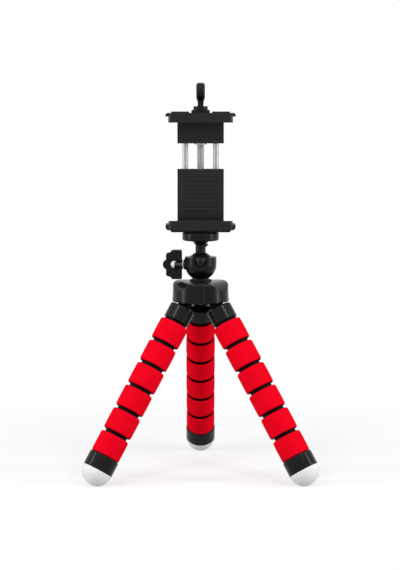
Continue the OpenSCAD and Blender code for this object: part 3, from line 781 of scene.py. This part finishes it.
class TRIPOD_OT_metal(bpy.types.Operator):
    """Make the screw thread and finish the metal pieces"""

    bl_idname = "tripod.metal"
    bl_label = "Metal pieces"

    def execute(self, context):
        look = context.scene.tripod_metal
        steel = metal_finish("steel", look.steel, 0.3)
        brass = metal_finish("brass", look.brass, 0.25)
        black = metal_finish("blackened_steel", look.blackened, 0.35)
        paint(steel, "swivel_screw", "lock_washer", "camera_stud", "guide_rods", "screw_clip")
        paint(lock_finish(look.satin, look.blackened), "lock_screw")
        paint(brass, "base_insert", "drive_nut")
        recipe = screw_recipe()
        downward = Matrix.Rotation(pi, 4, "X")
        rearward = Matrix.Rotation(-pi / 2, 4, "X")
        self.add_screws(recipe, black, "plate_screws", "hub", downward)
        self.add_screws(recipe, black, "cover_screws", "holder", rearward)
        low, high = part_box("lead_screw")
        middle = (low + high) / 2
        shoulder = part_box("knob_washer")[1].z
        above = [v.co for v in FRAME["nodes"]["lead_screw"].data.vertices if v.co.z > shoulder + WELD]
        mesh = thread_recipe().make(
            "thread", steel, Radius=(high.x - low.x) / 2, Depth=look.depth, Pitch=look.pitch,
            Length=shoulder - low.z, Tang=max((point - middle).xy.length for point in above),
            Reach=high.z - shoulder
        )
        mesh.transform(Matrix.Translation((middle.x, middle.y, low.z)))
        stand_for(add_piece("lead_screw_threaded", mesh), "jaw_turner", "steel", "lead_screw")
        return {"FINISHED"}

    @staticmethod
    def add_screws(recipe, material, node, body, turn):
        """Puts a screw with a cross recess in the place of each plain screw of a node."""
        screws = islands(node, turn.inverted())
        low, high = screws[0]
        head = (high.x - low.x) / 2
        height = SCREW_HEIGHT * head
        length = high.z - low.z - height
        points = []
        for low, high in screws:
            points.append(Vector(((low.x + high.x) / 2, (low.y + high.y) / 2, high.z - height)))
        mesh = recipe.make(
            "screws", material, points, Head=head, Height=height, Shank=height, Length=length
        )
        mesh.transform(turn)
        stand_for(add_piece(f"{node}_cross", mesh), body, "steel", node)


class TRIPOD_OT_stage(bpy.types.Operator):
    """Set up the floor, the lights and the camera"""

    bl_idname = "tripod.stage"
    bl_label = "Stage"

    def execute(self, context):
        look = context.scene.tripod_stage
        self.add_camera(context.scene, look)
        self.add_floor(look)
        self.add_world(context.scene, look)
        middle = Vector((0.0, 0.0, 0.15))
        self.add_light("top", Vector((0.0, -0.35, 1.15)), middle, (1.1, 0.8), look.top)
        for name, side in (("left", -1), ("right", 1)):
            beside = Vector((side * 0.88, -0.24, 0.32))
            before = Vector((side * 0.42, -0.61, 0.75))
            self.add_light(name, beside, middle, (0.095, 0.8), look.side)
            self.add_light(f"front_{name}", before, middle, (0.2, 0.2), look.front)
        context.scene.view_settings.view_transform = "Standard"
        return {"FINISHED"}

    @staticmethod
    def add_camera(scene, look):
        """A long lens at the height and distance that the stage names."""
        camera = bpy.data.objects.new("camera", bpy.data.cameras.new("camera"))
        scene.collection.objects.link(camera)
        aim = Vector((-look.aim_left, 0.0, look.aim_height))
        back = Vector((0.0, -cos(look.elevation), sin(look.elevation)))
        camera.location = aim + look.distance * back
        camera.rotation_euler = (-back).to_track_quat("-Z", "Y").to_euler()
        camera.data.sensor_width = SENSOR
        camera.data.lens = look.scale * look.distance * SENSOR / IMAGE_HEIGHT
        camera.data.clip_end = 50.0
        scene.camera = camera

    @staticmethod
    def seen(net):
        """1 for what the camera, a reflection or a clear piece shows, 0 for light that falls on a surface."""
        kinds = ("Camera", "Glossy", "Transmission")
        rays = [net.node("ShaderNodeLightPath", output=f"Is {kind} Ray") for kind in kinds]
        total = rays[0] + rays[1] + rays[2]
        return total.math("MINIMUM", total, 1.0)

    def add_floor(self, look):
        """A wide pale floor that keeps the shadows round the feet and runs out into white."""
        mesh = bpy.data.meshes.new("floor")
        corners = [(x * FLOOR_REACH, y * FLOOR_REACH, 0) for x, y in ((-1, -1), (1, -1), (1, 1), (-1, 1))]
        mesh.from_pydata(corners, [], [(0, 1, 2, 3)])
        floor = add_piece("floor", mesh)
        finish = Finish("floor")
        seen = self.seen(finish)
        lift = finish.mix((0.0, 0.0, 0.0), (look.lift,) * 3, seen)
        near = finish.node(
            "ShaderNodeBsdfPrincipled",
            inputs={"Base Color": finish.mix(look.floor, look.seen_floor, seen), "Roughness": 0.9,
                    "Specular IOR Level": 0.0, "Emission Color": lift, "Emission Strength": 1.0}
        )
        white = finish.node("ShaderNodeEmission", inputs={"Color": WHITE, "Strength": 1.0})
        away = finish.node("ShaderNodeVectorMath", {"operation": "LENGTH"}, {0: finish.place}, output="Value")
        far = seen * finish.ramp(away, 0.1, 0.34)
        both = finish.node("ShaderNodeMixShader", inputs={0: far, 1: near, 2: white})
        finish.node("ShaderNodeOutputMaterial", inputs={"Surface": both})
        mesh.materials.append(finish.material)

    def add_world(self, scene, look):
        """White behind the object, and a softer light from all round."""
        scene.world = bpy.data.worlds.new("studio")
        scene.world.use_nodes = True
        net = Net(scene.world.node_tree)
        fill = net.node("ShaderNodeBackground", inputs={"Color": WHITE, "Strength": look.fill})
        back = net.node("ShaderNodeBackground", inputs={"Color": WHITE, "Strength": 1.0})
        both = net.node("ShaderNodeMixShader", inputs={0: self.seen(net), 1: fill, 2: back})
        net.node("ShaderNodeOutputWorld", inputs={"Surface": both})

    @staticmethod
    def add_light(name, place, aim, span, power):
        """A soft box that faces a point."""
        lamp = bpy.data.lights.new(name, "AREA")
        lamp.shape = "RECTANGLE"
        lamp.size, lamp.size_y = span
        lamp.energy = power
        light = bpy.data.objects.new(name, lamp)
        light.location = place
        light.rotation_euler = (aim - place).to_track_quat("-Z", "Y").to_euler()
        bpy.context.scene.collection.objects.link(light)


class TRIPOD_PT_tools(bpy.types.Panel):
    """Lists the steps that dress the tripod"""

    bl_idname = "TRIPOD_PT_tools"
    bl_label = "Tripod"
    bl_space_type = "VIEW_3D"
    bl_region_type = "UI"
    bl_category = "Tripod"

    def draw(self, context):
        for step in STEPS:
            self.layout.operator(step.bl_idname)


LOOKS = {
    "tripod_foam": TripodFoam,
    "tripod_plastic": TripodPlastic,
    "tripod_metal": TripodMetal,
    "tripod_stage": TripodStage,
}
STEPS = (
    TRIPOD_OT_stage, TRIPOD_OT_foam_sleeves, TRIPOD_OT_leg_cores, TRIPOD_OT_leg_ends, TRIPOD_OT_head,
    TRIPOD_OT_holder, TRIPOD_OT_metal
)


def register():
    for kind in (*LOOKS.values(), *STEPS, TRIPOD_PT_tools):
        bpy.utils.register_class(kind)
    for name, kind in LOOKS.items():
        setattr(bpy.types.Scene, name, PointerProperty(type=kind))


def unregister():
    for name in LOOKS:
        delattr(bpy.types.Scene, name)
    for kind in (TRIPOD_PT_tools, *reversed(STEPS), *LOOKS.values()):
        bpy.utils.unregister_class(kind)


def main():
    """Runs every step."""
    register()
    for step in STEPS:
        group, name = step.bl_idname.split(".")
        getattr(getattr(bpy.ops, group), name)()


if __name__ == "__main__":
    main()
